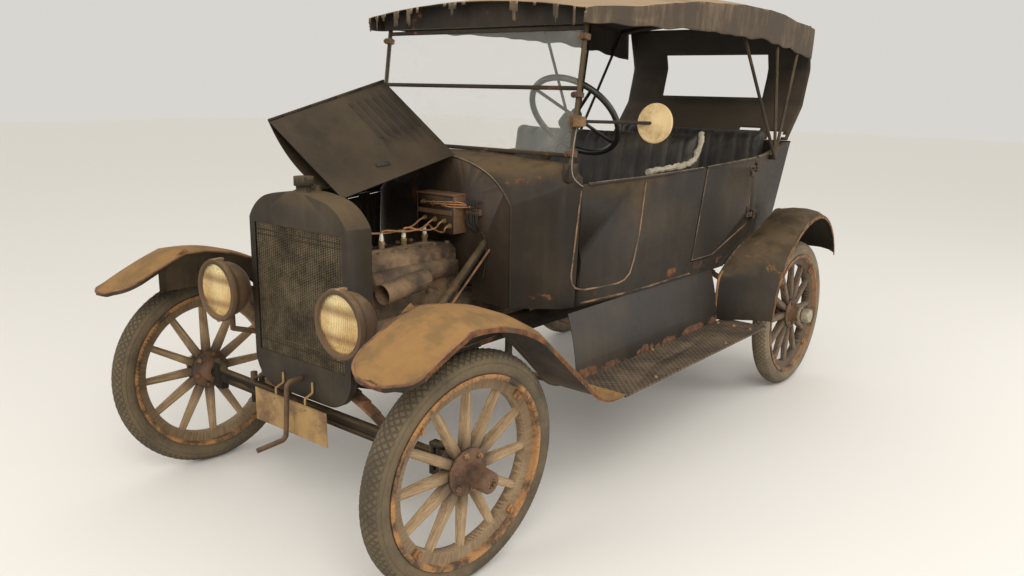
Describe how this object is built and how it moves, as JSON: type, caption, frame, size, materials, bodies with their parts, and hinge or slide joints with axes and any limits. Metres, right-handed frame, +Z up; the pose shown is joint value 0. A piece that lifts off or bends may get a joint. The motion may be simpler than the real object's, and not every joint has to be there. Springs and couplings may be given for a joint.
{
  "type": "open touring car of the 1920s",
  "caption": "Open four-seat touring car with wood-spoke wheels, folding fabric top, raised bonnet and exposed engine, worn and rusted as found.",
  "frame": {"origin": "on the ground, on the centreline, midway between the axles", "axes": "+X to the car's left, +Y to its rear, +Z up"},
  "size_m": [1.676, 3.373, 1.965],
  "materials": {
    "black_paint": "dull black paint, dusty, rust at the edges",
    "chassis_black": "dusty black and rust",
    "spring_steel": "rusted",
    "engine_iron": "dusty",
    "rusty_iron": "rusted",
    "core_metal": "dull fins",
    "lamp_glass": "fluted",
    "screen_glass": "clear",
    "floor_wood": "worn",
    "seat_leather": "worn",
    "board_steel": "dusty, embossed",
    "top_fabric": "dusty, torn",
    "plate_steel": "rusted",
    "wheel_rim_black": "worn black",
    "wheel_wood": "weathered grey-brown",
    "tyre_rubber": "dusty rubber"
  },
  "bodies": {
    "chassis": {"frame": "chassis_black", "front_axle": "chassis_black", "front_spring": "spring_steel", "rear_spring": "spring_steel", "rear_axle": "chassis_black", "drive_tube": "chassis_black", "radius_rods": "chassis_black", "engine": "engine_iron", "exhaust": "rusty_iron", "radiator_shell": "black_paint", "radiator_core": "core_metal", "headlamps": "black_paint", "headlamp_lenses": "lamp_glass", "firewall": "black_paint", "cowl": "black_paint", "body_left": "black_paint", "body_right": "black_paint", "body_back": "black_paint", "floor": "floor_wood", "seat_boxes": "floor_wood", "seat_front": "seat_leather", "seat_rear": "seat_leather", "fenders_front": "black_paint", "fenders_rear": "black_paint", "running_boards": "board_steel", "splash_aprons": "black_paint", "windscreen_frame": "rusty_iron", "windscreen_glass": "screen_glass", "top_frame": "rusty_iron", "top_roof": "top_fabric", "steering_column": "chassis_black", "bonnet_rod": "rusty_iron", "crank": "rusty_iron", "number_plate": "plate_steel"},
    "steering_wheel": {"steering_wheel": "wheel_rim_black"},
    "pitman_arm": {"pitman_arm": "chassis_black"},
    "drag_link": {"drag_link": "chassis_black"},
    "tie_rod": {"tie_rod": "chassis_black"},
    "knuckle_left": {"knuckle_left": "chassis_black"},
    "knuckle_right": {"knuckle_right": "chassis_black"},
    "door_rear_left": {"door_rear_left": "black_paint"},
    "door_rear_right": {"door_rear_right": "black_paint"},
    "door_front_right": {"door_front_right": "black_paint"},
    "bonnet_top_left": {"bonnet_top_left": "black_paint"},
    "bonnet_side_left": {"bonnet_side_left": "black_paint"},
    "bonnet_top_right": {"bonnet_top_right": "black_paint"},
    "bonnet_side_right": {"bonnet_side_right": "black_paint"},
    "wheel_front_left": {"wheel_front_left": "wheel_wood", "tyre_front_left": "tyre_rubber"},
    "wheel_front_right": {"wheel_front_right": "wheel_wood", "tyre_front_right": "tyre_rubber"},
    "wheel_rear_left": {"wheel_rear_left": "wheel_wood", "tyre_rear_left": "tyre_rubber"},
    "wheel_rear_right": {"wheel_rear_right": "wheel_wood", "tyre_rear_right": "tyre_rubber"}
  },
  "joints": [
    {"name": "steering", "type": "hinge", "parent": "chassis", "child": "steering_wheel", "pos_m": [0.225, -0.058, 1.403], "axis": [0, 0.768, 0.6404], "range_deg": [-137.78, 173.33]},
    {"name": "pitman_turn", "type": "hinge", "parent": "chassis", "child": "pitman_arm", "pos_m": [0.225, -1.08129, 0.54975], "axis": [0, 0.768, 0.6404], "range_deg": [-35, 44]},
    {"name": "drag_link_swing", "type": "hinge", "parent": "pitman_arm", "child": "drag_link", "pos_m": [0.225, -0.99996, 0.45221], "axis": [0, 0.768, 0.6404], "range_deg": [-44, 35]},
    {"name": "kingpin_left", "type": "hinge", "parent": "chassis", "child": "knuckle_left", "pos_m": [0.616, -1.27, 0.38057], "axis": [0, 0, 1], "range_deg": [-31.5, 39.5]},
    {"name": "kingpin_right", "type": "hinge", "parent": "chassis", "child": "knuckle_right", "pos_m": [-0.616, -1.27, 0.38057], "axis": [0, 0, 1], "range_deg": [-31.5, 39.5]},
    {"name": "tie_rod_swing", "type": "hinge", "parent": "knuckle_left", "child": "tie_rod", "pos_m": [0.60182, -1.12867, 0.31857], "axis": [0, 0, 1], "range_deg": [-39.5, 31.5]},
    {"name": "spin_front_left", "type": "hinge", "parent": "knuckle_left", "child": "wheel_front_left", "pos_m": [0.71077, -1.27663, 0.38057], "axis": [0.9963, -0.0697, -0.0506], "continuous": true},
    {"name": "spin_rear_left", "type": "hinge", "parent": "chassis", "child": "wheel_rear_left", "pos_m": [0.711, 1.27, 0.381], "axis": [1, 0, 0], "continuous": true},
    {"name": "spin_front_right", "type": "hinge", "parent": "knuckle_right", "child": "wheel_front_right", "pos_m": [-0.71077, -1.26337, 0.38057], "axis": [0.9963, -0.0697, 0.0506], "continuous": true},
    {"name": "spin_rear_right", "type": "hinge", "parent": "chassis", "child": "wheel_rear_right", "pos_m": [-0.711, 1.27, 0.381], "axis": [1, 0, 0], "continuous": true},
    {"name": "door_rear_left_hinge", "type": "hinge", "parent": "chassis", "child": "door_rear_left", "pos_m": [0.6095, 0.9575, 1], "axis": [0, 0, 1], "range_deg": [0, 70]},
    {"name": "door_rear_right_hinge", "type": "hinge", "parent": "chassis", "child": "door_rear_right", "pos_m": [-0.6095, 0.9575, 1], "axis": [0, 0, -1], "range_deg": [0, 70]},
    {"name": "door_front_right_hinge", "type": "hinge", "parent": "chassis", "child": "door_front_right", "pos_m": [-0.603, -0.08216, 1.118], "axis": [0, -0.2277, -0.9737], "range_deg": [0, 75]},
    {"name": "bonnet_left_hinge", "type": "hinge", "parent": "chassis", "child": "bonnet_top_left", "pos_m": [0, -1.224, 1.172], "axis": [0, -0.9913, -0.1315], "range_deg": [-156, 8]},
    {"name": "bonnet_left_fold", "type": "hinge", "parent": "bonnet_top_left", "child": "bonnet_side_left", "pos_m": [-0.20924, -1.26902, 1.39136], "axis": [-0.0731, 0.9683, 0.2389], "range_deg": [-106, 0]},
    {"name": "bonnet_right_hinge", "type": "hinge", "parent": "chassis", "child": "bonnet_top_right", "pos_m": [0, -1.224, 1.172], "axis": [0, -0.9913, -0.1315], "range_deg": [-28, 0]},
    {"name": "bonnet_right_fold", "type": "hinge", "parent": "bonnet_top_right", "child": "bonnet_side_right", "pos_m": [-0.282, -1.224, 1.052], "axis": [0.1113, -0.9919, -0.0607], "range_deg": [-41, 0]}
  ],
  "couplings": [
    {"joint": "pitman_turn", "follows": "steering", "ratio": 0.25},
    {"joint": "drag_link_swing", "follows": "steering", "ratio": -0.25},
    {"joint": "kingpin_left", "follows": "steering", "ratio": 0.225},
    {"joint": "kingpin_right", "follows": "steering", "ratio": 0.225},
    {"joint": "tie_rod_swing", "follows": "steering", "ratio": -0.225}
  ]
}
